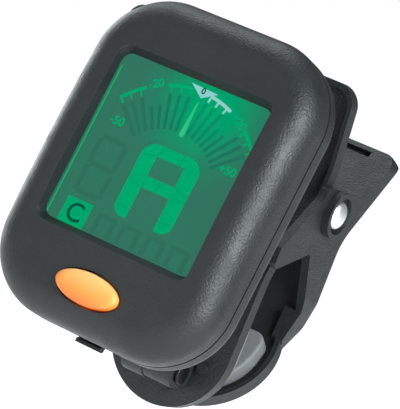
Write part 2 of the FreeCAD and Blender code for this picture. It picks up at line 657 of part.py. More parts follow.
def head_place(y, z):
    """A point given in the model's frame, as (y, z) in the head's own frame."""
    lean = math.radians(value("head_lean"))
    along = y - value("head_place_y")
    above = z - value("head_place_z")
    return (along * math.cos(lean) - above * math.sin(lean), along * math.sin(lean) + above * math.cos(lean))


def make_head_bracket():
    """Base plate screwed to the back of the head, with a strut down to the tilt knuckle."""
    knuckle_y, knuckle_z = head_place(value("tilt_y"), value("tilt_z"))
    left = "knuckle_split - knuckle_width"
    base = plate("bracket_base", "XZ_Plane", "-rear_depth - contact_gap", "base_thick",
                 lambda sketch: add_rectangle(sketch, "base_width", "base_top - base_bottom",
                                              ("0", "(base_top + base_bottom) / 2"), "base_corner"),
                 reverse=True)
    root = Vector(0, value("rear_depth + base_thick - strut_root"), 0)
    toward = Vector(0, knuckle_y - root.y, knuckle_z - value("(strut_low + strut_high) / 2")).normalize()
    across = Vector(0, -toward.z, toward.y) * value("knuckle_radius")
    strut = plate("bracket_strut", "YZ_Plane", left, "knuckle_width", lambda sketch: add_outline(sketch, [
        (str(root.y), "strut_low"),
        (str(knuckle_y - across.y), str(knuckle_z - across.z)),
        (str(knuckle_y + across.y), str(knuckle_z + across.z)),
        (str(root.y), "strut_high"),
    ]))
    knuckle = cylinder("bracket_knuckle", "knuckle_radius", "knuckle_width",
                       (left, str(knuckle_y), str(knuckle_z)), ALONG_X)
    bore = cylinder("bracket_bore", "pin_radius + pin_fit", THROUGH,
                    ("-" + THROUGH + " / 2", str(knuckle_y), str(knuckle_z)), ALONG_X)
    holes = [cylinder("bracket_hole", "shank_radius + hole_room", "4 * base_thick",
                      (side + "base_screw_x", "rear_depth - base_thick", "base_screw_z"), ALONG_Y)
             for side in SIDES]
    keep(cut("bracket_cut", fuse("bracket_form", base, strut, knuckle), bore, *holes), "head_bracket", True)


TABLE_BACK = "-pad_thick - jaw_thick - table_gap"


def make_turntable():
    disc = cylinder("table_disc", "table_radius", "table_thick",
                    ("0", TABLE_BACK + " - table_thick", "table_z"), ALONG_Y)
    spigot = cylinder("table_spigot", "spigot_radius", "jaw_thick + table_gap - spigot_short + spigot_root",
                      ("0", TABLE_BACK + " - spigot_root", "table_z"), ALONG_Y)
    lug_side = [
        ("tilt_y - lug_front", "tilt_z - lug_bottom", "lug_round"),
        (TABLE_BACK + " - table_thick / 2", "tilt_z - lug_bottom", "lug_foot_round"),
        (TABLE_BACK + " - table_thick / 2", "tilt_z + lug_top"),
        ("tilt_y - lug_front", "tilt_z + lug_top", "lug_round"),
    ]
    lug = plate("table_lug", "YZ_Plane", "knuckle_split + joint_gap", "lug_width",
                lambda sketch: add_outline(sketch, lug_side))
    pin_hole = cylinder("lug_hole", "pin_radius", THROUGH, ("-" + THROUGH + " / 2", "tilt_y", "tilt_z"),
                        ALONG_X)
    screw_hole = cylinder("spigot_hole", "swivel_screw_radius", THROUGH,
                          ("0", TABLE_BACK + " - screw_end", "table_z"), ALONG_Y)
    form = fuse("table_form", disc, spigot, lug)
    keep(cut("table_cut", form, pin_hole, screw_hole), "turntable")
    pin_left = "knuckle_split - knuckle_width - pin_fit - pin_head_thick"
    pin_right = "knuckle_split + joint_gap + lug_width + pin_fit"
    shaft = cylinder("tilt_shaft", "pin_radius", "knuckle_width + joint_gap + lug_width + 2 * pin_head_thick",
                     (pin_left, "tilt_y", "tilt_z"), ALONG_X)
    heads = []
    for start in (pin_left, pin_right):
        heads.append(cylinder("tilt_head", "pin_head_radius", "pin_head_thick", (start, "tilt_y", "tilt_z"),
                              ALONG_X))
    keep(fuse("tilt_pin_form", shaft, *heads), "tilt_pin")
    spigot_end = "-pad_thick - spigot_short"
    ring = cylinder("washer_disc", "washer_radius", "washer_thick", ("0", spigot_end, "table_z"), ALONG_Y)
    bore = cylinder("washer_bore", "swivel_screw_radius + joint_gap", "3 * washer_thick",
                    ("0", spigot_end + " - washer_thick", "table_z"), ALONG_Y)
    keep(cut("washer_cut", ring, bore), "swivel_washer")
    head = cylinder("swivel_head", "swivel_head_radius", "swivel_head_thick - skin_gap",
                    ("0", spigot_end + " + washer_thick", "table_z"), ALONG_Y)
    shank = cylinder("swivel_shank", "swivel_screw_radius", "screw_grip + washer_thick + spigot_root",
                     ("0", spigot_end + " - screw_grip", "table_z"), ALONG_Y)
    keep(fuse("swivel_screw_form", head, shank), "swivel_screw")


# ---------------------------------------------------------------- front jaw

FACE_Y = "-pad_thick - jaw_thick"


def jaw_outline(inset, bottom, top, bottom_round, top_round):
    half = "jaw_half - (" + inset + ")"
    return lambda sketch: add_outline(sketch, [
        ("-(" + half + ")", bottom, bottom_round), (half, bottom, bottom_round),
        (half, top, top_round), ("-(" + half + ")", top, top_round)])


def jaw_side(name, front, back, low):
    """Side profile of the front jaw between two offsets from its front face, from height low up."""
    low_y = "(" + FACE_Y + ")"
    bend_y = "(" + FACE_Y + " + bend_y)"
    top_y = "(" + FACE_Y + " + bend_top_y)"
    corners = [
        (low_y + " + " + front, low), (low_y + " + " + back, low),
        (low_y + " + " + back, "bend_low_z", "bend_low_round"),
        (bend_y + " + " + back, "bend_z", "bend_round"),
        (top_y + " + " + back, "jaw_top + rim_width"), (top_y + " + " + front, "jaw_top + rim_width"),
        (bend_y + " + " + front, "bend_z", "bend_round"),
        (low_y + " + " + front, "bend_low_z", "bend_low_round")]
    return plate(name, "YZ_Plane", "0", "4 * jaw_half", lambda sketch: add_outline(sketch, corners),
                 symmetric=True)


def make_front_jaw():
    side = jaw_side("jaw_side", "0", "jaw_thick", "jaw_bottom - rim_width")
    face = plate("jaw_face", "XZ_Plane", "0", "4 * jaw_half",
                 jaw_outline("0", "jaw_bottom", "jaw_top", "jaw_half - skin_gap", "jaw_corner"),
                 symmetric=True)
    ears = []
    for start in ("ear_inner", "-ear_outer"):
        ears.append(cylinder("ear_round", "ear_radius", "ear_outer - ear_inner",
                             (start, "pivot_y", "pivot_z"), ALONG_X))
        web = [("pivot_y", "pivot_z - ear_radius"), ("pivot_y", "pivot_z + ear_radius"),
               ("bend_y - pad_thick - ear_lap", "pivot_z + ear_radius"),
               (FACE_Y + " + bend_y - ear_foot", "pivot_z - ear_radius")]
        ears.append(plate("ear_web", "YZ_Plane", start, "ear_outer - ear_inner",
                          lambda sketch: add_outline(sketch, web)))
    nub = cylinder("index_nub", "nub_radius", "nub_thick + nub_root",
                   ("nub_x", FACE_Y + " - nub_thick", "nub_z"), ALONG_Y)
    blank = fuse("jaw_blank", common("jaw_plate", side, face), nub, *ears)
    tray = common("jaw_tray",
                  jaw_side("tray_side", "-tray_open", "tray_depth", "jaw_bottom - rim_width"),
                  plate("tray_face", "XZ_Plane", "0", "4 * jaw_half",
                        jaw_outline("rim_width", "tray_bottom", "jaw_top - 1.3 * rim_width", "tray_corner",
                                    "jaw_corner - rim_width"), symmetric=True))
    spigot_hole = cylinder("jaw_spigot_hole", "spigot_radius + spigot_fit", THROUGH,
                           ("0", "-" + THROUGH + " / 2", "table_z"), ALONG_Y)
    washer_bay = cylinder("jaw_washer_bay", "washer_radius + washer_room", "jaw_thick",
                          ("0", "-pad_thick - spigot_short - skin_gap", "table_z"), ALONG_Y)
    pivot_hole = cylinder("jaw_pivot_hole", "rivet_radius", THROUGH,
                          ("-" + THROUGH + " / 2", "pivot_y", "pivot_z"), ALONG_X)
    spring_gap = box("jaw_spring_gap", ("-spring_window", "pivot_y - 3 * ear_radius", "window_low"),
                     ("spring_window", "pivot_y + 2 * ear_radius", "window_high"))
    keep(cut("jaw_cut", blank, tray, spigot_hole, washer_bay, pivot_hole, spring_gap), "front_jaw")


def make_front_pad():
    body = plate("front_pad_form", "XZ_Plane", "0", "pad_thick", lambda sketch: add_outline(sketch, [
        ("-pad_half", "pad_low", "pad_low_round"), ("pad_half", "pad_low", "pad_low_round"),
        ("pad_half", "pad_high", "pad_corner"), ("-pad_half", "pad_high", "pad_corner")]))
    sketch = new_sketch(body, "XZ_Plane")
    add_rectangle(sketch, "3 * pad_half", "grip_groove", ("0", "front_groove_z"))
    pocket(body, sketch, "grip_depth", reverse=True)
    keep(body, "front_pad")


# ---------------------------------------------------------------- rear jaw

def cup_frame():
    """Placement whose x is the model's x, y points up the cup's face and z out of it, to the front."""
    lean = math.radians(value("cup_lean"))
    up = Vector(0, math.sin(lean), math.cos(lean))
    out = Vector(0, -math.cos(lean), math.sin(lean))
    turn = Rotation(ALONG_X, up, out, "ZXY")
    return Placement(Vector(0, value("cup_y"), value("cup_z")), turn)


def cup_disc(name, radius, start, end):
    item = doc.addObject("Part::Cylinder", name)
    bind(item, "Radius", radius)
    bind(item, "Height", "(" + end + ") - (" + start + ")")
    item.Placement = cup_frame().multiply(Placement(Vector(0, 0, value(start)), Rotation()))
    return item


def make_rear_jaw():
    lean = math.radians(value("cup_lean"))
    reach = value("rear_pad_top + pad_room")
    low_y = value("cup_y") + reach * math.sin(lean)
    low_z = value("cup_z") + reach * math.cos(lean)
    inner_y = low_y - value("cup_floor") * math.cos(lean)
    inner_z = low_z + value("cup_floor") * math.sin(lean)
    web = plate("rear_web", "YZ_Plane", "0", "2 * rear_half", lambda sketch: add_outline(sketch, [
        ("lever_top_y", "lever_top_z"), ("lever_in_y", "lever_in_z"),
        ("waist_in_y", "waist_in_z", "waist_in_round"), ("knee_in_y", "knee_in_z", "knee_in_round"),
        (str(inner_y), str(inner_z)), (str(low_y), str(low_z)),
        ("knee_y", "knee_z", "knee_round"), ("waist_y", "waist_z", "waist_round")]), symmetric=True)
    cheek = [("cheek_front", "cheek_top", "cheek_corner"), ("cheek_back", "cheek_top"),
             ("cheek_waist_y", "cheek_waist_z"), ("cheek_foot_y", "cheek_foot_z"), ("inner_y", "inner_z - 1"),
             ("inner_y", "inner_z", "inner_round / 4"), ("arch_y", "arch_z", "arch_round"),
             ("wing_y", "wing_low", "cheek_corner"), ("wing_y", "wing_high", "cheek_corner"),
             ("brow_y", "brow_z", "brow_round")]
    heel = [("cheek_foot_y", "cheek_foot_z"), ("inner_y", "inner_z"), ("heel_front_y", "heel_front_z"),
            ("heel_back_y", "heel_back_z")]
    cheeks = []
    for start in ("rear_half - cheek_thick", "-rear_half"):
        cheeks.append(plate("cheek", "YZ_Plane", start, "cheek_thick",
                            lambda sketch: add_outline(sketch, cheek)))
    for start in ("rear_half - heel_thick - cheek_thick", "-rear_half"):
        cheeks.append(plate("heel", "YZ_Plane", start, "heel_thick + cheek_thick",
                            lambda sketch: add_outline(sketch, heel)))
    silhouette = plate("rear_face", "XZ_Plane", "0", THROUGH, lambda sketch: add_outline(sketch, [
        ("-face_half", "face_low"), ("face_half", "face_low"), ("face_half", "face_step"),
        ("rear_half", "shoulder_z", "shoulder_round"),
        ("rear_half", "lever_in_z + joint_gap", "lever_corner"),
        ("-rear_half", "lever_in_z + joint_gap", "lever_corner"),
        ("-rear_half", "shoulder_z", "shoulder_round"), ("-face_half", "face_step")]), symmetric=True)
    body = common("rear_body", fuse("rear_blank", web, *cheeks), silhouette)
    cup = cup_disc("cup_solid", "cup_radius", "0", "cup_depth")
    dish = cup_disc("cup_dish", "cup_radius - cup_wall", "cup_floor", "2 * cup_depth")
    shelf = cut("cup_form", cup, dish)
    rings = []
    hollows = []
    for start, hollow in (("rear_half", "rear_half + ring_height - ring_recess"),
                          ("-rear_half - ring_height", "-rear_half - ring_height - ring_recess")):
        rings.append(cylinder("pivot_ring", "ring_radius", "ring_height",
                              (start, "pivot_y", "pivot_z"), ALONG_X))
        hollows.append(cylinder("ring_hollow", "ring_inner", "2 * ring_recess",
                                (hollow, "pivot_y", "pivot_z"), ALONG_X))
    pivot_hole = cylinder("rear_pivot_hole", "rivet_radius + rivet_fit", THROUGH,
                          ("-" + THROUGH + " / 2", "pivot_y", "pivot_z"), ALONG_X)
    angle = math.atan2(value("lever_in_y - waist_in_y"), value("lever_in_z - waist_in_z"))
    slot = doc.addObject("Part::Box", "lever_slot")
    bind(slot, "Length", "2 * slot_half")
    bind(slot, "Width", "2 * slot_depth")
    bind(slot, "Height", "slot_width")
    drop = value("slot_drop")
    corner = Vector(-value("slot_half"),
                    value("lever_in_y") - drop * math.sin(angle) - value("slot_depth") * math.cos(angle),
                    value("lever_in_z") - drop * math.cos(angle) + value("slot_depth") * math.sin(angle))
    slot.Placement = Placement(corner, Rotation(ALONG_X, -math.degrees(angle)))
    form = fuse("rear_form_all", body, shelf, *rings)
    keep(cut("rear_cut", form, pivot_hole, slot, *hollows), "rear_jaw")


def make_rear_pad():
    body = new_body("rear_pad_form")
    sketch = new_sketch(body, "XY_Plane", "cup_floor + contact_gap")
    round_end = "rear_pad_half - skin_gap"
    add_outline(sketch, [
        ("-rear_pad_half", "-rear_pad_half", round_end), ("rear_pad_half", "-rear_pad_half", round_end),
        ("rear_pad_half", "rear_pad_top", "rear_pad_corner"),
        ("-rear_pad_half", "rear_pad_top", "rear_pad_corner")])
    pad(body, sketch, "rear_pad_height - cup_floor")
    face = value("rear_pad_height + contact_gap")
    fillet(body, "rear_pad_round", lambda edge: abs(edge.BoundBox.ZMin - face) < 1e-3)
    sketch = new_sketch(body, "XY_Plane", "rear_pad_height + contact_gap")
    add_rectangle(sketch, "3 * rear_pad_half", "grip_groove", ("0", "rear_groove_place"))
    pocket(body, sketch, "grip_depth")
    body.Placement = cup_frame()
    keep(body, "rear_pad")


# ---------------------------------------------------------------- pivot and spring

def make_pivot_rivet():
    """Rivet turned about the pivot axis, with a low dome on each end."""
    body = new_body("rivet_form")
    sketch = new_sketch(body, "XY_Plane")
    half = "(rear_half + ring_height - ring_recess + joint_gap)"
    end = "(rear_half + ring_height - ring_recess + joint_gap + rivet_dome)"
    dome = "rivet_dome - joint_gap"
    add_outline(sketch, [
        ("-" + end, "0"), ("-" + end, "rivet_head_radius", dome), ("-" + half, "rivet_head_radius"),
        ("-" + half, "rivet_radius"), (half, "rivet_radius"), (half, "rivet_head_radius"),
        (end, "rivet_head_radius", dome), (end, "0")])
    turned = body.newObject("PartDesign::Revolution", "rivet_turned")
    turned.Profile = sketch
    turned.ReferenceAxis = (sketch, ["H_Axis"])
    turned.Angle = 360
    body.Placement = Placement(Vector(0, value("pivot_y"), value("pivot_z")), Rotation())
    bind(body, "Placement.Base.y", "pivot_y")
    bind(body, "Placement.Base.z", "pivot_z")
    keep(body, "pivot_rivet")


def upward(lean):
    """Unit vector that leans back from +z by lean degrees."""
    return Vector(0, math.sin(math.radians(lean)), math.cos(math.radians(lean)))


def make_torsion_spring():
    """Coil about the pivot with two legs: one behind the front lever, one against the rear lever."""
    pitch = value("coil_pitch")
    sweep = 360 * value("coil_turns") + value("end_angle - start_angle")
    length = pitch * sweep / 360
    helix = Part.makeHelix(pitch, length, value("coil_radius"))
    helix.Placement = Placement(Vector(0, 0, 0), Rotation(Vector(0, 0, 1), value("start_angle")))
    turn = Rotation(ALONG_Y, Vector(0, 0, 1), ALONG_X, "ZXY")
    place = Placement(Vector(-length / 2, value("pivot_y"), value("pivot_z")), turn)
    helix.Placement = place.multiply(helix.Placement)
    left, right = sorted((vertex.Point for vertex in helix.Vertexes), key=lambda point: point.x)
    front_knee = left + Vector(0, value("leg_out_y"), value("leg_out_z"))
    front_tip = front_knee + upward(-value("front_leg_lean")) * value("front_leg")
    rear_tip = right + upward(value("rear_leg_lean")) * value("rear_leg")
    wire_radius = value("wire_radius")

    def rod(begin, finish):
        return Part.makeCylinder(wire_radius, begin.distanceToPoint(finish), begin, finish - begin)

    circle = Part.Circle(helix.Vertexes[0].Point, helix.Edges[0].tangentAt(helix.Edges[0].FirstParameter),
                         wire_radius)
    section = Part.Wire(circle.toShape())
    coil = Part.Wire(helix.Edges).makePipeShell([section], True, True)
    pieces = [coil, rod(left, front_knee), rod(front_knee, front_tip), rod(right, rear_tip)]
    for point in (left, right, front_knee):
        pieces.append(Part.makeSphere(wire_radius, point))
    item = doc.addObject("Part::Feature", "torsion_spring")
    item.Shape = pieces[0].multiFuse(pieces[1:]).removeSplitter()
    keep(item, "torsion_spring")


# ---------------------------------------------------------------- build, check and write

make_front_shell()
make_rear_shell()
make_battery_cover()
make_display_stack()
make_circuit_board()
make_switch()
make_power_button()
make_battery()
make_sensor()
make_screws()
make_head_bracket()
make_turntable()
make_front_jaw()
make_front_pad()
make_rear_jaw()
make_rear_pad()
make_pivot_rivet()
make_torsion_spring()
doc.recompute()

failed = [item.Label for item in doc.Objects if {"Invalid", "Error"} & set(item.State)]
if failed:
    raise RuntimeError("these objects failed: " + ", ".join(failed))
os.makedirs("parts", exist_ok=True)
for name, item in NODES:
    shape = item.Shape
    if shape.isNull() or not shape.isValid() or not shape.Solids:
        raise RuntimeError(name + " has no valid solid")
    shape.exportStep("parts/" + name + ".step")
    print(name, len(shape.Solids), round(shape.Volume, 2), [round(number, 2) for number in (
        shape.BoundBox.XMin, shape.BoundBox.XMax, shape.BoundBox.YMin, shape.BoundBox.YMax,
        shape.BoundBox.ZMin, shape.BoundBox.ZMax)])
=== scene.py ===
"""Clip-on tuner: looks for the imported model.

Pieces are drawn in millimetres and turned into metres by MM; the stage, lights and camera are in metres.
Pieces of the head are drawn in the head's own axes, upright with the display facing -y, and placed by HEAD.
"""
import bmesh
import bpy
import json
import math
from mathutils import Matrix, Vector


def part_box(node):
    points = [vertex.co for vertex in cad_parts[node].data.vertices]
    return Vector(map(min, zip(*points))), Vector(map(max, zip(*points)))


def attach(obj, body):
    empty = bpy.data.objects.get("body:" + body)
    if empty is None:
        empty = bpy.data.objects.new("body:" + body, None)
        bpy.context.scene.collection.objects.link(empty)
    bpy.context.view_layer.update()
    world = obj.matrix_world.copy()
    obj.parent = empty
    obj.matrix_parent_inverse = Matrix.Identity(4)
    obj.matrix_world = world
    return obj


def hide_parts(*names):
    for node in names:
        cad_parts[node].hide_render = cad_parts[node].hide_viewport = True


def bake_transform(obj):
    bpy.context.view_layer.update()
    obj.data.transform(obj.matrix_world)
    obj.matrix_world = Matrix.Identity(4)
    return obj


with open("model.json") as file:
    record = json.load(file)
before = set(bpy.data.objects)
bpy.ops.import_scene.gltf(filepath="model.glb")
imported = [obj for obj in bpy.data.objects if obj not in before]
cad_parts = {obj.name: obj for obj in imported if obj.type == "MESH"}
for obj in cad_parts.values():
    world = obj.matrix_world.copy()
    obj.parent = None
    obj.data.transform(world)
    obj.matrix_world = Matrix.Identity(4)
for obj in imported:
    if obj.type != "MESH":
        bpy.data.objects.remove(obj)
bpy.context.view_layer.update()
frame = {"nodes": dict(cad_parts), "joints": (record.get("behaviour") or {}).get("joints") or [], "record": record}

MM = 0.001
nodes = frame["nodes"]
SLOT = {entry["node"]: entry["material_slot"] for entry in frame["record"]["subparts"]}
BODY = {node: body for body, members in frame["record"]["behaviour"]["bodies"].items() for node in members}
JOINT = {joint["name"]: joint for joint in frame["joints"]}


# ---------------------------------------------------------------- places taken from the frame

def box_in(axes, node):
    """(lowest, highest) corner of a node in millimetres, measured along turned or moved axes."""
    back = axes.inverted()
    points = [back @ vertex.co / MM for vertex in nodes[node].data.vertices]
    return tuple(Vector([pick(point[axis] for point in points) for axis in range(3)]) for pick in (min, max))


def middle_of(low, high):
    return (low + high) / 2


def find_head():
    """Axes of the head: leant as the button's slide is, from the middle of the seam between the shells."""
    _, depth, rise = JOINT["power_button_press"]["axis"]
    lean = Matrix.Rotation(math.atan2(rise, depth), 4, "X")
    low, high = box_in(lean, "front_shell")
    centre = middle_of(low, high)
    return lean @ Matrix.Translation(Vector((centre.x, high.y, centre.z)) * MM)


HEAD = find_head()
PIVOT = Vector(JOINT["jaw_hinge"]["pos_m"])
LCD_FRONT = box_in(HEAD, "lcd_panel")[0].y
BUTTON_Z = middle_of(*box_in(HEAD, "power_button")).z


# ---------------------------------------------------------------- materials

def new_material(name):
    material = bpy.data.materials.new(name)
    material.use_nodes = True
    tree = material.node_tree
    return material, tree, tree.nodes["Principled BSDF"]


def set_inputs(node, **values):
    """Sets a node's sockets; an underscore in a keyword stands for the space in the socket's name."""
    for key, value in values.items():
        node.inputs[key.replace("_", " ")].default_value = value
    return node


def add_node(tree, kind, **values):
    return set_inputs(tree.nodes.new(kind), **values)


def own_place(tree):
    """Point of the surface in the piece's own axes."""
    return tree.nodes.new("ShaderNodeTexCoord").outputs["Object"]


def noise(tree, scale, detail=3.0):
    pattern = add_node(tree, "ShaderNodeTexNoise", Scale=scale, Detail=detail, Roughness=0.55)
    tree.links.new(own_place(tree), pattern.inputs["Vector"])
    return pattern.outputs["Fac"]


def ramp(tree, factor, stops):
    """Colour ramp over factor; stops are (position, colour or number)."""
    node = tree.nodes.new("ShaderNodeValToRGB")
    while len(node.color_ramp.elements) < len(stops):
        node.color_ramp.elements.new(0.5)
    for element, (position, tone) in zip(node.color_ramp.elements, stops):
        element.position = position
        element.color = tuple(tone) + (1,) if hasattr(tone, "__len__") else (tone, tone, tone, 1)
    tree.links.new(factor, node.inputs["Fac"])
    return node.outputs["Color"]


def bump(tree, shader, height, strength, distance):
    node = add_node(tree, "ShaderNodeBump", Strength=strength, Distance=distance)
    tree.links.new(height, node.inputs["Height"])
    tree.links.new(node.outputs["Normal"], shader.inputs["Normal"])


def moulded(name, low, high, rough_low, rough_high, grain=3000, strength=0.8, depth=0.11 * MM):
    """Moulded plastic or rubber: slow changes of tone and gloss, and a fine grain, as noise of that scale."""
    material, tree, shader = new_material(name)
    slow = noise(tree, 110, 4.0)
    tree.links.new(ramp(tree, slow, [(0.35, low), (0.65, high)]), shader.inputs["Base Color"])
    patches = noise(tree, 420, 4.0)
    tree.links.new(ramp(tree, patches, [(0.35, rough_low), (0.65, rough_high)]), shader.inputs["Roughness"])
    bump(tree, shader, noise(tree, grain, 2.0), strength, depth)
    return material


def metal(name, low, high, rough_low, rough_high):
    material = moulded(name, low, high, rough_low, rough_high, grain=3500, strength=0.12, depth=0.01 * MM)
    set_inputs(material.node_tree.nodes["Principled BSDF"], Metallic=1.0)
    return material


GLOW = Vector((3.0, LCD_FRONT, 11.6)) * MM
LIT = (0.0, 0.40, 0.155)
HALF_LIT = (0.0, 0.33, 0.14)
FALLING = (0.02, 0.2, 0.115)
DIM = (0.033, 0.165, 0.108)
GHOST = (0.030, 0.145, 0.095)
JOINT_TONE = (0.0, 0.25, 0.11)
DARK = (0.004, 0.085, 0.05)
PALE = (0.28, 0.62, 0.60)
NEEDLE = (0.03, 0.52, 0.22)
EDGE_LIGHT = (0.0, 0.52, 0.17)
GLOW_REACH = 15 * MM


def lit_display(name, stops, reach=GLOW_REACH):
    """Lit surface whose colour falls off with the distance from the brightest point of the display."""
    material, tree, shader = new_material(name)
    measure = tree.nodes.new("ShaderNodeVectorMath")
    measure.operation = "DISTANCE"
    measure.inputs[1].default_value = GLOW
    tree.links.new(own_place(tree), measure.inputs[0])
    span = add_node(tree, "ShaderNodeMapRange", From_Max=reach)
    tree.links.new(measure.outputs["Value"], span.inputs["Value"])
    uneven = tree.nodes.new("ShaderNodeMath")
    uneven.operation = "MULTIPLY_ADD"
    uneven.inputs[1].default_value = 0.08
    tree.links.new(noise(tree, 300, 3.0), uneven.inputs[0])
    tree.links.new(span.outputs["Result"], uneven.inputs[2])
    tree.links.new(ramp(tree, uneven.outputs["Value"], stops), shader.inputs["Emission Color"])
    set_inputs(shader, Emission_Strength=1.0, Base_Color=(0.0, 0.01, 0.008, 1), Roughness=0.5,
               Specular_IOR_Level=0.0)
    return material


def ink_material(name, colour):
    """Ink of nearly one tone, a tenth darker far from the light."""
    return lit_display(name, [(0.0, colour), (1.0, tuple(part * 0.9 for part in colour))], 2 * GLOW_REACH)


def make_clear_window():
    material, tree, shader = new_material("window_clear")
    set_inputs(shader, Base_Color=(0.96, 1.0, 0.98, 1), Transmission_Weight=1.0, IOR=1.03)
    tree.links.new(ramp(tree, noise(tree, 500), [(0.3, 0.01), (0.7, 0.03)]), shader.inputs["Roughness"])
    return material


def make_button_orange():
    """Translucent orange with painted light: the colour is lighter towards the top of the cap, where the light
    falls from above.
    """
    material, tree, shader = new_material("button_orange")
    parts = tree.nodes.new("ShaderNodeSeparateXYZ")
    tree.links.new(own_place(tree), parts.inputs["Vector"])
    half_height = 2.4
    span = add_node(tree, "ShaderNodeMapRange", From_Min=(BUTTON_Z - half_height) * MM,
                    From_Max=(BUTTON_Z + half_height) * MM)
    tree.links.new(parts.outputs["Z"], span.inputs["Value"])
    # Painted light: the base colour goes from deep orange at the bottom of the cap to light orange at its top.
    colour = ramp(tree, span.outputs["Result"], [(0.0, (0.82, 0.15, 0.012)), (0.45, (0.90, 0.29, 0.055)),
                                                 (1.0, (0.95, 0.46, 0.16))])
    tree.links.new(colour, shader.inputs["Base Color"])
    tree.links.new(ramp(tree, noise(tree, 600), [(0.3, 0.34), (0.7, 0.44)]), shader.inputs["Roughness"])
    bump(tree, shader, noise(tree, 3000, 2.0), 0.15, 0.01 * MM)
    set_inputs(shader, Subsurface_Weight=0.25, Subsurface_Radius=(1.0, 0.3, 0.1), Subsurface_Scale=1 * MM)
    return material


MATERIALS = {
    "body_black": moulded("body_black", (0.0065, 0.0085, 0.009), (0.010, 0.0125, 0.0135), 0.44, 0.54),
    "pad_grey": moulded("pad_grey", (0.12, 0.125, 0.13), (0.15, 0.155, 0.16), 0.6, 0.75, 2500),
    "button_orange": make_button_orange(),
    "window_clear": make_clear_window(),
    "lcd_glass": lit_display("lcd_glass", [(0.0, LIT), (0.3, HALF_LIT), (0.62, FALLING), (0.85, DIM),
                                           (1.0, DIM)]),
    "diffuser": moulded("diffuser", (0.7, 0.75, 0.7), (0.8, 0.84, 0.8), 0.4, 0.5),
    "contact_rubber": moulded("contact_rubber", (0.02, 0.02, 0.02), (0.08, 0.08, 0.08), 0.6, 0.8, 900),
    "circuit": moulded("circuit", (0.005, 0.09, 0.03), (0.01, 0.13, 0.05), 0.25, 0.4, 700),
    "chip_black": moulded("chip_black", (0.01, 0.01, 0.01), (0.02, 0.02, 0.02), 0.5, 0.6),
    "led_white": moulded("led_white", (0.7, 0.72, 0.6), (0.85, 0.86, 0.75), 0.2, 0.3),
    "switch_body": moulded("switch_body", (0.02, 0.02, 0.022), (0.03, 0.03, 0.032), 0.3, 0.4),
    "cell_steel": metal("cell_steel", (0.6, 0.6, 0.6), (0.7, 0.7, 0.7), 0.2, 0.3),
    "contact_steel": metal("contact_steel", (0.6, 0.58, 0.5), (0.7, 0.68, 0.6), 0.25, 0.35),
    "piezo_brass": metal("piezo_brass", (0.6, 0.42, 0.14), (0.7, 0.5, 0.2), 0.25, 0.4),
    "ceramic_white": moulded("ceramic_white", (0.7, 0.7, 0.66), (0.8, 0.8, 0.76), 0.3, 0.4),
    "screw_steel": metal("screw_steel", (0.10, 0.10, 0.105), (0.16, 0.16, 0.165), 0.28, 0.4),
    "rivet_steel": metal("rivet_steel", (0.74, 0.75, 0.74), (0.84, 0.85, 0.84), 0.42, 0.52),
    "spring_steel": metal("spring_steel", (0.42, 0.42, 0.43), (0.55, 0.55, 0.56), 0.25, 0.35),
    "pin_steel": metal("pin_steel", (0.03, 0.03, 0.032), (0.06, 0.06, 0.062), 0.3, 0.4),
}
for name, item in nodes.items():
    item.data.materials.clear()
    item.data.materials.append(MATERIALS[SLOT[name]])


# ---------------------------------------------------------------- mesh helpers

def add_object(name, mesh, place=Matrix.Identity(4)):
    item = bpy.data.objects.new(name, mesh)
    bpy.context.scene.collection.objects.link(item)
    item.matrix_world = place
    return item


def evaluated_mesh(item):
    """Plain mesh of an object as it stands, with its modifiers or its curve worked out."""
    bpy.context.view_layer.update()
    graph = bpy.context.evaluated_depsgraph_get()
    return bpy.data.meshes.new_from_object(item.evaluated_get(graph), depsgraph=graph)


def curve_mesh(name, curve):
    """Plain mesh of a curve or of a text."""
    maker = add_object(name, curve)
    mesh = evaluated_mesh(maker)
    bpy.data.objects.remove(maker)
    mesh.materials.clear()
    return mesh


def form_mesh(name, form):
    """Mesh of a bmesh form, with its faces turned outwards."""
    bmesh.ops.recalc_face_normals(form, faces=form.faces)
    mesh = bpy.data.meshes.new(name)
    form.to_mesh(mesh)
    form.free()
    return mesh


def settle(item):
    """Applies the modifiers, so that the piece is plain mesh."""
    mesh = evaluated_mesh(item)
    item.modifiers.clear()
    item.data = mesh


def shade_smooth(mesh, sharp_angle=None):
    """Shades the mesh smooth, except over edges sharper than an angle in degrees."""
    for face in mesh.polygons:
        face.use_smooth = True
    if sharp_angle:
        mesh.set_sharp_from_angle(angle=math.radians(sharp_angle))


def dress(item, body, slot, replaces=()):
    """Gives a finished piece the material of its slot, makes it ride on its body and stand for its nodes."""
    item.data.materials.append(MATERIALS[slot])
    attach(item, body)
    if replaces:
        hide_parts(*replaces)


def soften(item, width, segments):
    """Rounds the sharp edges and shades the rest smooth."""
    bevel = item.modifiers.new("edges", "BEVEL")
    bevel.width = width
    bevel.segments = segments
    bevel.limit_method = "ANGLE"
    bevel.angle_limit = math.radians(30)
    bevel.use_clamp_overlap = True
    bevel.harden_normals = False
    settle(item)
    shade_smooth(item.data, 50)
    weighted = item.modifiers.new("shading", "WEIGHTED_NORMAL")
    weighted.keep_sharp = True
    settle(item)


def refine(node, width, segments):
    """Copy of a node with its flat faces joined and its edges rounded, standing for the node."""
    mesh = nodes[node].data.copy()
    for layer in ("custom_normal", "sharp_face", "sharp_edge"):
        if layer in mesh.attributes:
            mesh.attributes.remove(mesh.attributes[layer])
    mesh.materials.clear()
    form = bmesh.new()
    form.from_mesh(mesh)
    bmesh.ops.remove_doubles(form, verts=form.verts, dist=1e-7)
    bmesh.ops.dissolve_limit(form, angle_limit=math.radians(0.6), verts=form.verts, edges=form.edges)
    form.to_mesh(mesh)
    form.free()
    item = add_object(node + "_skin", mesh)
    soften(item, width, segments)
    dress(item, BODY[node], SLOT[node], [node])


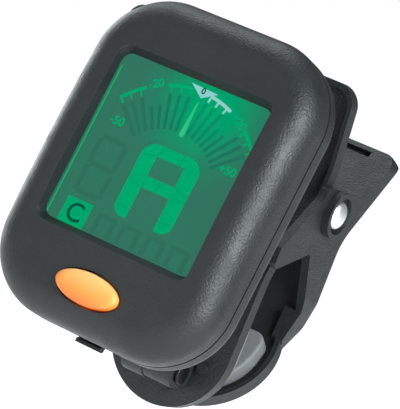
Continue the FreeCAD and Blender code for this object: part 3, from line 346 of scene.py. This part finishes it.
def plate_mesh(name, outlines, front, thickness):
    """Thin plates facing -y, one for each outline of (x, z) points, with their fronts at y = front."""
    form = bmesh.new()
    for outline in outlines:
        face = form.faces.new([form.verts.new(Vector((x, front, z)) * MM) for x, z in outline])
        made = bmesh.ops.extrude_face_region(form, geom=[face])
        back = [part for part in made["geom"] if isinstance(part, bmesh.types.BMVert)]
        bmesh.ops.translate(form, verts=back, vec=(0, thickness * MM, 0))
    return form_mesh(name, form)


def ring_mesh(name, rings, tip=None):
    """Closed form over rings of equally many points; its first end is a tip if one is given, or else flat."""
    form = bmesh.new()
    loops = [[form.verts.new(point) for point in ring] for ring in rings]
    after = loops[0][1:] + loops[0][:1]
    if tip is None:
        form.faces.new(loops[0])
    else:
        top = form.verts.new(tip)
        for here, there in zip(loops[0], after):
            form.faces.new((top, here, there))
    for inner, outer in zip(loops, loops[1:]):
        for step, point in enumerate(inner):
            form.faces.new((inner[step - 1], outer[step - 1], outer[step], point))
    form.faces.new(loops[-1])
    return form_mesh(name, form)


# ---------------------------------------------------------------- display

INK_FRONT = LCD_FRONT - 0.09
INK_THICK = 0.05
# Steps of the ink's front, towards the viewer or away, so that no two layers share a face.
OVER = -0.03
JUST_OVER = -0.02
UNDER = 0.02
GAUGE_AT = Vector((0.75, -1.9))
GAUGE_RADIUS = 15.6
GAUGE_LINE = 0.5
TICK_LENGTH = 0.75
TICK_HALF = 0.55
RAY_STEP = 6.12
RAY_INNER = 8.8


def polar(angle, radius):
    """Point of the gauge at an angle in degrees clockwise from straight up."""
    turn = math.radians(angle)
    return GAUGE_AT + radius * Vector((math.sin(turn), math.cos(turn)))


def arc_band(start, end, outer, inner):
    """Outline of a band of the gauge between two angles and two radii."""
    steps = max(2, int(abs(end - start) / 1.5))
    angles = [start + (end - start) * step / steps for step in range(steps + 1)]
    return [polar(angle, outer) for angle in angles] + [polar(angle, inner) for angle in reversed(angles)]


def gauge_line(start, end):
    return arc_band(start, end, GAUGE_RADIUS, GAUGE_RADIUS - GAUGE_LINE)


def gauge_tick(angle):
    top = GAUGE_RADIUS - GAUGE_LINE
    return arc_band(angle - TICK_HALF, angle + TICK_HALF, top, top - TICK_LENGTH)


def box_outline(left, low, right, high):
    return [(left, low), (right, low), (right, high), (left, high)]


def rounded_box(centre, width, height, radius):
    """Outline of a box with rounded corners, anticlockwise from the lower left."""
    points = []
    steps = 6
    for number, (side, level) in enumerate([(-1, -1), (1, -1), (1, 1), (-1, 1)]):
        middle = Vector((centre[0] + side * (width / 2 - radius), centre[1] + level * (height / 2 - radius)))
        for step in range(steps + 1):
            turn = math.radians(180 + 90 * number + 90 * step / steps)
            points.append(middle + radius * Vector((math.cos(turn), math.sin(turn))))
    return points


def ink_on(name, mesh, material):
    """Ink rides on the head and has no slot of its own."""
    mesh.materials.append(material)
    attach(add_object(name, mesh, HEAD), "head")


def ink(name, outlines, material, level=0.0):
    ink_on(name, plate_mesh(name, outlines, INK_FRONT + level, INK_THICK), material)


def ink_text(name, words, centre, height, material, turn=0.0, level=0.0):
    """Letters of a height in millimetres, turned anticlockwise by degrees about their centre."""
    text_per_height = 1.38
    curve = bpy.data.curves.new(name, "FONT")
    curve.body = words
    curve.size = text_per_height * height * MM
    curve.align_x = "CENTER"
    curve.align_y = "CENTER"
    curve.offset = 0.04 * MM
    curve.extrude = INK_THICK * MM / 2
    mesh = curve_mesh(name, curve)
    upright = Matrix.Rotation(math.radians(90), 4, "X")
    twist = Matrix.Rotation(math.radians(turn), 4, "Y")
    place = Matrix.Translation(Vector((centre[0], INK_FRONT + level + INK_THICK / 2, centre[1])) * MM)
    mesh.transform(place @ twist @ upright)
    ink_on(name, mesh, material)


def make_gauge(lit, pale, ghost, dark):
    """Arc with its ticks and numbers, the pale stretch and mark at its middle, and the fan of unlit rays."""
    lit_lines = [gauge_line(-48.9, -33.0), gauge_line(-20.6, -5.2), gauge_line(35.4, 48.9)]
    lit_ticks = [gauge_tick(angle) for angle in (-48.6, -42.8, -36.7, -18.4, -12.2, -6.1, 36.7, 42.8, 48.6)]
    ink("gauge_arc", lit_lines + lit_ticks, lit)
    ink("gauge_arc_pale", [gauge_line(6.1, 21.2)] + [gauge_tick(angle) for angle in (6.6, 12.2, 18.4)], pale)
    ink("centre_mark", [[(-1.4, 14.15), (1.0, 12.55), (3.3, 13.95)]], pale)
    ink_text("centre_number", "0", (0.95, 13.6), 0.95, dark, level=OVER)
    ink_text("number_minus_twenty", "-20", (-6.5, 12.0), 1.3, lit, turn=-27.5)
    ink_text("number_plus_twenty", "+20", (8.2, 11.5), 1.3, lit, turn=29)
    ink_text("number_minus_fifty", "-50", (-9.5, 4.85), 1.35, lit)
    ink_text("number_plus_fifty", "+50", (10.1, 4.5), 1.3, lit)
    rays = []
    for step in [step for step in range(-8, 9) if step]:
        angle = step * RAY_STEP
        beside_number = 20 < abs(angle) < 35
        outer = GAUGE_RADIUS - (3.2 if beside_number else 1.5)
        rays.append([polar(angle - 1.15, outer), polar(angle + 1.15, outer),
                     polar(angle + 1.5, RAY_INNER), polar(angle - 1.5, RAY_INNER)])
    ink("fan_rays", rays, ghost, UNDER)


def make_needle():
    """Slim pointer with a round foot."""
    foot = Vector((0.95, 6.75))
    radius = 0.42
    tip_half, tip_z = 0.09, 11.9
    turns = [math.radians(turn) for turn in range(-80, 81, 16)]
    outline = [foot + radius * Vector((math.sin(turn), -math.cos(turn))) for turn in turns]
    outline += [(0.97 + tip_half, tip_z), (0.97 - tip_half, tip_z)]
    ink("needle", [outline], ink_material("ink_needle", NEEDLE), JUST_OVER)


def make_note(lit):
    """Segmented letter of the note: two legs and two bars, with thin joints between the segments."""
    left, right, low, high = -3.55, 6.45, -7.5, 4.1
    stroke, bar, arch = 2.55, 1.7, 2.3
    gap = 0.07
    left_in, right_in = left + stroke, right - stroke
    centre = (left + right) / 2
    left_bend, right_bend = left_in + 0.9, right_in - 0.9
    shoulder = high - bar
    shoulder_out = shoulder - 0.4
    waist = -1.55
    waist_high, waist_low = waist + 0.9, waist - 0.95
    left_high, left_low = waist - 0.1, waist - 0.35
    right_high, right_low = waist + 0.1, waist - 0.55
    foot, foot_out = low + 1.5, low + 1.6

    def corner(side):
        middle = Vector((left + arch if side < 0 else right - arch, high - arch))
        turns = [math.radians((180 if side < 0 else 90) - 15 * step) for step in range(7)]
        return [middle + arch * Vector((math.cos(turn), math.sin(turn))) for turn in turns]

    top_bar = [
        corner(-1) + [(left_bend - gap, high), (left_in - 0.1, shoulder), (left, shoulder_out)],
        [(left_bend + gap, high), (right_bend - gap, high), (right_bend - gap, shoulder),
         (left_in + gap, shoulder)],
        [(right_bend + gap, high)] + corner(1) + [(right, shoulder_out), (right_in + 0.1, shoulder),
                                                  (right_bend + gap, shoulder)],
    ]
    upper_legs = [
        [(left, shoulder_out - gap), (left_in, shoulder - gap), (left_in, waist_high), (left, left_high)],
        [(right_in, shoulder - gap), (right, shoulder_out - gap), (right, right_high),
         (right_in, waist_high)],
    ]
    middle_bar = [
        [(left, left_high - gap), (left_in, waist_high - gap), (left_in, waist_low), (left, left_low)],
        box_outline(left_in + gap, waist_low, centre - gap, waist_high),
        box_outline(centre + gap, waist_low, right_in - gap, waist_high),
        [(right_in, waist_high - gap), (right, right_high - gap), (right, right_low), (right_in, waist_low)],
    ]
    lower_legs = [
        [(left, left_low - gap), (left_in, waist_low - gap), (left_in, foot), (left, foot_out)],
        [(right_in, waist_low - gap), (right, right_low - gap), (right, foot_out), (right_in, foot)],
    ]
    feet = [
        [(left, foot_out - gap), (left_in, foot - gap), (left_in, low), (left + 1.5, low),
         (left + 0.6, low + 0.45), (left + 0.12, low + 1.0)],
        [(right_in, foot - gap), (right, foot_out - gap), (right - 0.12, low + 1.0), (right - 0.6, low + 0.3),
         (right - 1.3, low), (right_in, low)],
    ]
    ink("note_letter", top_bar + upper_legs + middle_bar + lower_legs + feet, lit)
    make_note_joints(left, right, low, high, stroke, bar, waist)


def make_note_joints(left, right, low, high, stroke, bar, waist):
    """Darker strips behind the letter, which show through its joints."""
    inset = 0.25
    strip_low = (low + high) / 2 - 4.9
    strip_high = strip_low + 9.8
    strips = [box_outline(start + inset, strip_low, start + stroke - inset, strip_high)
              for start in (left, right - stroke)]
    strips.append(box_outline(left + 1.5, high - bar + 0.2, right - 1.5, high - 0.2))
    strips.append(box_outline(left + 1.5, waist - 0.75, right - 1.5, waist + 0.75))
    ink("note_joints", strips, ink_material("ink_joint", JOINT_TONE), UNDER)


def make_mode_box(lit, dark):
    centre = (-8.7, -9.8)
    ink("mode_box", [rounded_box(centre, 4.4, 4.2, 0.12)], lit)
    ink_text("mode_letter", "C", centre, 2.9, dark, level=OVER)


def make_ghosts(ghost):
    """Faint segments that are off: a second character, and a row of small marks."""
    stroke = 0.8
    left, right = -10.9, -5.8
    frames = []
    for low, high in ((-6.6, -2.6), (-2.3, 1.7)):
        frames.append(box_outline(left, low, left + stroke, high))
        frames.append(box_outline(right - stroke, low, right, high))
    for level in (-6.9, -2.6, 1.7):
        frames.append(box_outline(left + 0.7, level, right - 0.6, level + 0.7))
    mark_low, mark_width = -11.3, 3.4
    for number in range(4):
        start = -5.2 + number * 4.3
        frames.append(box_outline(start, mark_low, start + stroke, mark_low + 2.4))
        frames.append(box_outline(start + mark_width - stroke, mark_low, start + mark_width, mark_low + 2.4))
        frames.append(box_outline(start, mark_low + 2.5, start + mark_width, mark_low + 3.1))
    ink("ghost_segments", frames, ghost, UNDER)


def make_edge_glow():
    """Thin bright lines where the light leaks at the left, lower and right edges of the opening."""
    width = 0.15
    left, right, low = -13.05, 13.0, -11.85
    left_high, right_high = 12.6, 6.5
    edges = [box_outline(left, low + 0.1, left + width, left_high),
             box_outline(left + 0.05, low, right - 0.1, low + width),
             box_outline(right - width, low + 0.05, right, right_high)]
    ink("edge_strip", edges, ink_material("edge_glow", EDGE_LIGHT))


def make_display():
    lit = ink_material("ink_lit", LIT)
    pale = ink_material("ink_pale", PALE)
    ghost = lit_display("ink_ghost", [(0.0, (0.0, 0.30, 0.125)), (0.5, (0.012, 0.165, 0.1)), (1.0, GHOST)])
    dark = ink_material("ink_dark", DARK)
    make_gauge(lit, pale, ghost, dark)
    make_needle()
    make_note(lit)
    make_mode_box(lit, dark)
    make_ghosts(ghost)
    make_edge_glow()


def make_pane(name, node, thickness, corner, edge, segments):
    """Plate over a node's outline, from the node's front, with rounded corners and edges."""
    low, high = box_in(HEAD, node)
    centre = middle_of(low, high)
    outline = rounded_box((centre.x, centre.z), high.x - low.x, high.z - low.z, corner)
    item = add_object(name, plate_mesh(name, [outline], low.y, thickness), HEAD)
    soften(item, edge * MM, segments)
    dress(item, "head", SLOT[node], [node])


def make_panes():
    """Window plate, a little thinner than its node so that the ink lies free behind it, and the lit panel."""
    make_pane("display_window_pane", "display_window", thickness=0.6, corner=1.6, edge=0.06, segments=2)
    make_pane("lcd_pane", "lcd_panel", thickness=1.0, corner=1.4, edge=0.05, segments=1)


# ---------------------------------------------------------------- power button

def make_button():
    """Oval cap with a low dome and a rounded rim, over its flange."""
    half_long, half_short = 5.3, 2.35
    around = 72
    tip = 7.72
    cap = [(0.25, 7.70), (0.5, 7.62), (0.7, 7.50), (0.84, 7.36), (0.93, 7.18), (0.98, 6.92), (1.0, 6.6),
           (1.0, 5.0), (1.0, 4.55)]
    flange = [(0.90, 4.5), (1.0, 4.4), (1.0, 3.95), (0.90, 3.9)]

    def oval(along, across, proud):
        turns = [2 * math.pi * step / around for step in range(around)]
        return [Vector((along * math.cos(turn), -proud, BUTTON_Z + across * math.sin(turn))) * MM
                for turn in turns]

    rings = [oval(half_long * share, half_short * share, proud) for share, proud in cap]
    rings += [oval(half_long + rim, half_short + rim, proud) for rim, proud in flange]
    mesh = ring_mesh("button_cap", rings, Vector((0, -tip, BUTTON_Z)) * MM)
    shade_smooth(mesh, 50)
    dress(add_object("button_cap", mesh, HEAD), "button", "button_orange", ["power_button"])


# ---------------------------------------------------------------- rivet and spring

def make_rivet():
    """Turned rivet along x with a low dome at each end, as long as its node."""
    reach = (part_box("pivot_rivet")[1] - PIVOT) / MM
    dome, head_radius, shank_radius = 1.1, reach.z, 1.5
    half = reach.x - dome
    around = 48
    turns = [math.radians(turn) for turn in range(0, 91, 9)]
    side = [(half + dome * math.cos(turn), max(0.02, head_radius * math.sin(turn))) for turn in turns]
    side.append((half, shank_radius))
    profile = side + [(-x, radius) for x, radius in reversed(side)]
    steps = [2 * math.pi * step / around for step in range(around)]
    rings = [[Vector((x, radius * math.cos(turn), radius * math.sin(turn))) * MM for turn in steps]
             for x, radius in profile]
    mesh = ring_mesh("pivot_rivet_turned", rings)
    shade_smooth(mesh, 40)
    item = add_object("pivot_rivet_turned", mesh, Matrix.Translation(PIVOT))
    dress(item, BODY["pivot_rivet"], "rivet_steel", ["pivot_rivet"])


def make_spring():
    """Coil round the rivet; its left leg lies on the front lever and its right leg on the rear lever."""
    turns, pitch, radius, wire_radius = 6.0, 1.12, 2.35, 0.5
    start, sweep = math.radians(135), 2 * math.pi * turns - math.radians(173)
    length = pitch * sweep / (2 * math.pi)
    count = 220
    coil = []
    for step in range(count + 1):
        share = step / count
        turn = start + sweep * share
        coil.append(Vector((length * (share - 0.5), radius * math.cos(turn), radius * math.sin(turn))))
    knee = coil[0] + Vector((0, 2.5, 2.9))
    front_tip = knee + Vector((0, -0.233, 0.972)) * 8.0
    rear_lean = math.radians(43)
    rear_tip = coil[-1] + Vector((0, math.sin(rear_lean), math.cos(rear_lean))) * 12.5
    front_leg = [front_tip, knee + Vector((0, -0.12, 0.5)), knee + Vector((0, -0.2, -0.24))]
    route = front_leg + coil + [rear_tip]
    curve = bpy.data.curves.new("spring_wire", "CURVE")
    curve.dimensions = "3D"
    curve.bevel_depth = wire_radius * MM
    curve.bevel_resolution = 4
    curve.use_fill_caps = True
    spline = curve.splines.new("POLY")
    spline.points.add(len(route) - 1)
    for point, place in zip(spline.points, route):
        point.co = tuple(place * MM + PIVOT) + (1,)
    mesh = curve_mesh("spring_wire", curve)
    shade_smooth(mesh)
    mesh.materials.append(MATERIALS["spring_steel"])
    item = add_object("spring_coil", mesh)
    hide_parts("torsion_spring")
    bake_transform(item)


# ---------------------------------------------------------------- stage, light and camera

AIM = Vector((0, 0, 0.02))
LIGHTS = (
    # name, place, (width, height), watts
    ("top", (-0.34, 0.06, 0.62), (0.5, 0.5), 2.6),
    ("side", (0.60, -0.34, 0.26), (0.34, 0.40), 10.0),
    ("left", (-0.62, 0.24, 0.10), (0.4, 0.5), 3.0),
    ("front", (-0.36, -0.60, 0.24), (0.5, 0.4), 0.7),
)


def make_light(name, place, size, power):
    lamp = bpy.data.lights.new(name, "AREA")
    lamp.shape = "RECTANGLE"
    lamp.size, lamp.size_y = size
    lamp.energy = power
    lamp.color = (0.90, 0.98, 1.0)
    item = add_object(name, lamp)
    item.location = place
    item.rotation_euler = (AIM - Vector(place)).to_track_quat("-Z", "Y").to_euler()


def make_floor():
    """White ground with light of its own, low enough for the turned head and the drawn cover."""
    reach, level = 6.0, -0.075
    mesh = bpy.data.meshes.new("floor")
    corners = [(x, y, level) for x, y in box_outline(-reach, -reach, reach, reach)]
    mesh.from_pydata(corners, [], [(0, 1, 2, 3)])
    material, _, shader = new_material("floor")
    set_inputs(shader, Base_Color=(0.35, 0.35, 0.35, 1), Roughness=0.95, Emission_Color=(1, 1, 1, 1),
               Emission_Strength=0.95)
    mesh.materials.append(material)
    add_object("floor", mesh)


def make_world():
    """White studio: bright where it is seen directly, dimmer as a source of light."""
    world = bpy.data.worlds.new("studio")
    bpy.context.scene.world = world
    world.use_nodes = True
    tree = world.node_tree
    back = set_inputs(tree.nodes["Background"], Color=(1, 1, 1, 1))
    path = tree.nodes.new("ShaderNodeLightPath")
    level = add_node(tree, "ShaderNodeMapRange", To_Min=0.16, To_Max=1.0)
    tree.links.new(path.outputs["Is Camera Ray"], level.inputs["Value"])
    tree.links.new(level.outputs["Result"], back.inputs["Strength"])


def make_camera():
    """Long lens, rolled so that the head leans to the left."""
    place = Vector((0.17827, -0.34851, 0.04292))
    right = Vector((0.8085, 0.4512, 0.3778)).normalized()
    rough_up = Vector((-0.3584, -0.1318, 0.9242))
    away = right.cross(rough_up).normalized()
    up = away.cross(right)
    lens = bpy.data.cameras.new("camera")
    lens.sensor_width = 36
    lens.lens = 228.851
    lens.clip_start = 0.01
    camera = add_object("camera", lens)
    camera.matrix_world = Matrix.Translation(place) @ Matrix((right, up, away)).transposed().to_4x4()
    bpy.context.scene.camera = camera


# ---------------------------------------------------------------- build

# Width of the rounded edges of each outer node.
EDGES = {"front_shell": 0.3, "rear_shell": 0.14, "battery_cover": 0.12, "head_bracket": 0.2, "turntable": 0.2,
         "front_jaw": 0.4, "rear_jaw": 0.22, "front_pad": 0.25, "rear_pad": 0.15, "tilt_pin": 0.12}
for name, width in EDGES.items():
    refine(name, width * MM, 3 if width > 0.25 else 2)
make_display()
make_panes()
make_button()
make_rivet()
make_spring()
make_floor()
make_world()
make_camera()
for light in LIGHTS:
    make_light(*light)
bpy.context.scene.view_settings.view_transform = "Standard"
